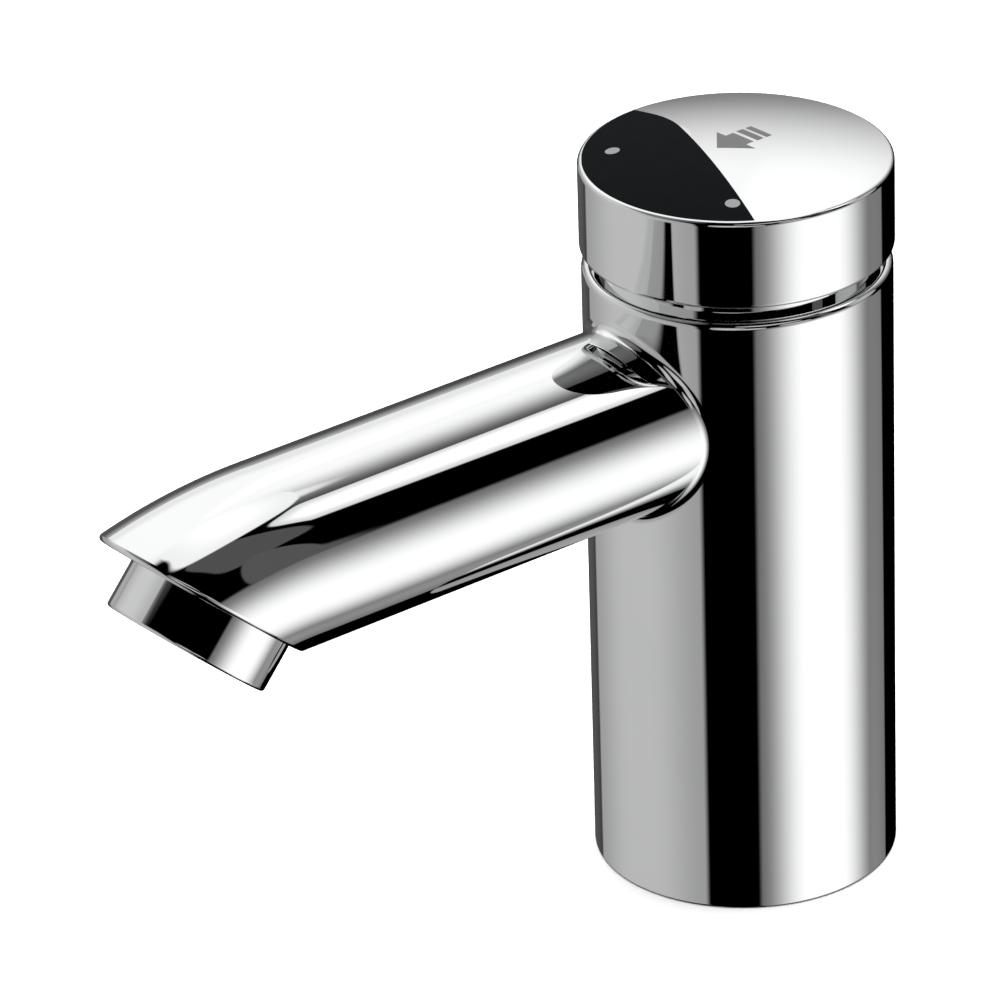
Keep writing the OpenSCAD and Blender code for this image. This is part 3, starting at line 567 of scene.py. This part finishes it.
class Sky:
    """Soft panels of light seen by direction: azimuth from +X towards +Y, and elevation, in degrees."""

    def __init__(self):
        self.world = bpy.data.worlds.new("studio")
        self.world.use_nodes = True
        self.tree = self.world.node_tree
        self.tree.nodes.clear()
        place = self.tree.nodes.new("ShaderNodeTexCoord").outputs["Generated"]
        split = self.tree.nodes.new("ShaderNodeSeparateXYZ")
        self.tree.links.new(place, split.inputs[0])
        turn = self.math("ARCTAN2", split.outputs["Y"], split.outputs["X"])
        self.azimuth = self.math("DEGREES", turn)
        self.elevation = self.math("DEGREES", self.math("ARCSINE", split.outputs["Z"]))
        self.light = None

    def math(self, operation, *values):
        node = self.tree.nodes.new("ShaderNodeMath")
        node.operation = operation
        for socket, value in zip(node.inputs, values):
            if isinstance(value, (int, float)):
                socket.default_value = value
            else:
                self.tree.links.new(value, socket)
        return node.outputs[0]

    def ramp(self, source, low, high, to_low, to_high):
        node = self.tree.nodes.new("ShaderNodeMapRange")
        node.interpolation_type = "SMOOTHSTEP"
        for name, value in zip(("From Min", "From Max", "To Min", "To Max"), (low, high, to_low, to_high)):
            node.inputs[name].default_value = value
        self.tree.links.new(source, node.inputs["Value"])
        return node.outputs["Result"]

    def panel(self, azimuth, elevation, half_width, half_height, middle, edge, core=0.2, power=2, blur=0.04):
        """A panel, bright in its core and dimmer towards its edge: an oval, or nearly square with power 4."""
        across = self.math("WRAP", self.math("SUBTRACT", self.azimuth, azimuth), 180, -180)
        up = self.math("SUBTRACT", self.elevation, elevation)
        across = self.math("POWER", self.math("DIVIDE", across, half_width), power)
        up = self.math("POWER", self.math("DIVIDE", up, half_height), power)
        far = self.math("POWER", self.math("ADD", across, up), 1 / power)
        inside = self.ramp(far, 1 - blur, 1 + blur, 1, 0)
        self.add(self.math("MULTIPLY", self.ramp(far, core, 1, middle, edge), inside))

    def add(self, glow):
        """Where panels overlap, the brighter one shows."""
        self.light = glow if self.light is None else self.math("MAXIMUM", self.light, glow)

    def make(self, backdrop):
        """The camera sees a plain backdrop, and all else sees the panels."""
        panels = self.tree.nodes.new("ShaderNodeBackground")
        self.tree.links.new(self.light, panels.inputs["Color"])
        plain = self.tree.nodes.new("ShaderNodeBackground")
        plain.inputs["Color"].default_value = (backdrop, backdrop, backdrop, 1)
        mix = self.tree.nodes.new("ShaderNodeMixShader")
        seen = self.tree.nodes.new("ShaderNodeLightPath").outputs["Is Camera Ray"]
        self.tree.links.new(seen, mix.inputs["Fac"])
        self.tree.links.new(panels.outputs[0], mix.inputs[1])
        self.tree.links.new(plain.outputs[0], mix.inputs[2])
        output = self.tree.nodes.new("ShaderNodeOutputWorld")
        self.tree.links.new(mix.outputs[0], output.inputs["Surface"])
        scene.world = self.world


def light_studio():
    """The studio as the chrome mirrors it. Azimuth 0 is right of the tap, 90 behind it, 180 left of it."""
    sky = Sky()
    # Glow from the floor on the right, and its dim end
    sky.panel(24, -34.5, 52.5, 50, middle=1.2, edge=0.18, core=0.27)
    sky.panel(78, -46, 22, 26, middle=0.32, edge=0.2)
    # Grey card in front on the left, a brighter one above it, and dim light over both
    sky.panel(234.5, -13.5, 56.5, 50, middle=0.57, edge=0.38, power=4)
    sky.panel(210, 22, 44, 22, middle=0.67, edge=0.52)
    sky.panel(229, 59, 56, 23, middle=0.22, edge=0.1)
    # Dim ground behind on the left, with the card's bright end
    sky.panel(160, -15, 23, 30, middle=0.1, edge=0.04, power=4)
    sky.panel(177, -4, 9, 8, middle=0.45, edge=0.4)
    # Large soft box behind, with its low corner, its middle and its top
    sky.panel(150, 54.5, 79.5, 58, middle=1.12, edge=0.09, core=0.35, power=4)
    sky.panel(156, 24, 13.5, 11, middle=0.93, edge=0.93, power=4)
    sky.panel(134, 48, 16, 47.5, middle=1.2, edge=0.22, core=0.25, power=4)
    sky.panel(96, 70.5, 70, 12.5, middle=1.2, edge=1.02)
    # Bright window behind on the right, and two dim screens beside it
    sky.panel(60.5, 46.5, 13.5, 11.3, middle=1.38, edge=0.8, core=0.36, power=4)
    sky.panel(33, 52, 10.5, 15, middle=0.09, edge=0.09, power=4)
    sky.panel(29, 24, 5, 16.5, middle=0.1, edge=0.1)
    # Windows that hardly show from the photograph's side, so that the tap isn't black from the others
    sky.panel(313, 6, 12.5, 16, middle=0.6, edge=0.4, power=4)
    sky.panel(330, 0, 10, 10, middle=0.6, edge=0.4, power=4)
    sky.panel(2, 15.5, 12, 8, middle=0.6, edge=0.4, power=4)
    sky.panel(345, 40, 27, 8, middle=0.6, edge=0.4, power=4)
    sky.panel(62, 17, 14, 17, middle=0.5, edge=0.4, power=4)
    sky.make(backdrop=1.0)


def pale_floor(half=3.0):
    """A square floor, hidden from the chrome, which mirrors the panels instead."""
    mesh = bpy.data.meshes.new("floor")
    corners = [(-half, -half, 0), (half, -half, 0), (half, half, 0), (-half, half, 0)]
    mesh.from_pydata(corners, [], [(0, 1, 2, 3)])
    floor = bpy.data.objects.new("floor", mesh)
    scene.collection.objects.link(floor)
    mesh.materials.append(finish_of("floor", (0.97, 0.97, 0.97), (0.98, 0.98, 0.98), (0.7, 0.8), scale=4))
    floor.visible_glossy = False


def soft_light(size=4, power=150, height=2):
    """A wide lamp above, for the floor and what isn't chrome."""
    lamp = bpy.data.lights.new("overhead", "AREA")
    lamp.size = size
    lamp.energy = power
    light = bpy.data.objects.new("overhead", lamp)
    light.location = (0, 0, height)
    light.visible_glossy = False
    scene.collection.objects.link(light)


light_studio()
pale_floor()
soft_light()


# Camera at the photograph's angle

camera_place = Vector((0.79819, -0.66491, 0.59326))
camera_target = Vector((-0.0241, -0.02878, 0.06032))
camera_roll = math.radians(-1.79)
camera_lens = 269.46


def make_camera():
    back = (camera_place - camera_target).normalized()
    right = Vector((0, 0, 1)).cross(back).normalized()
    up = back.cross(right)
    turn, lean = math.cos(camera_roll), math.sin(camera_roll)
    right, up = right * turn + up * lean, up * turn - right * lean
    data = bpy.data.cameras.new("camera")
    data.lens = camera_lens
    data.clip_start, data.clip_end = 0.05, 20
    camera = bpy.data.objects.new("camera", data)
    scene.collection.objects.link(camera)
    camera.matrix_world = Matrix.Translation(camera_place) @ Matrix((right, up, back)).transposed().to_4x4()
    scene.camera = camera


make_camera()
scene.view_settings.view_transform = "Standard"
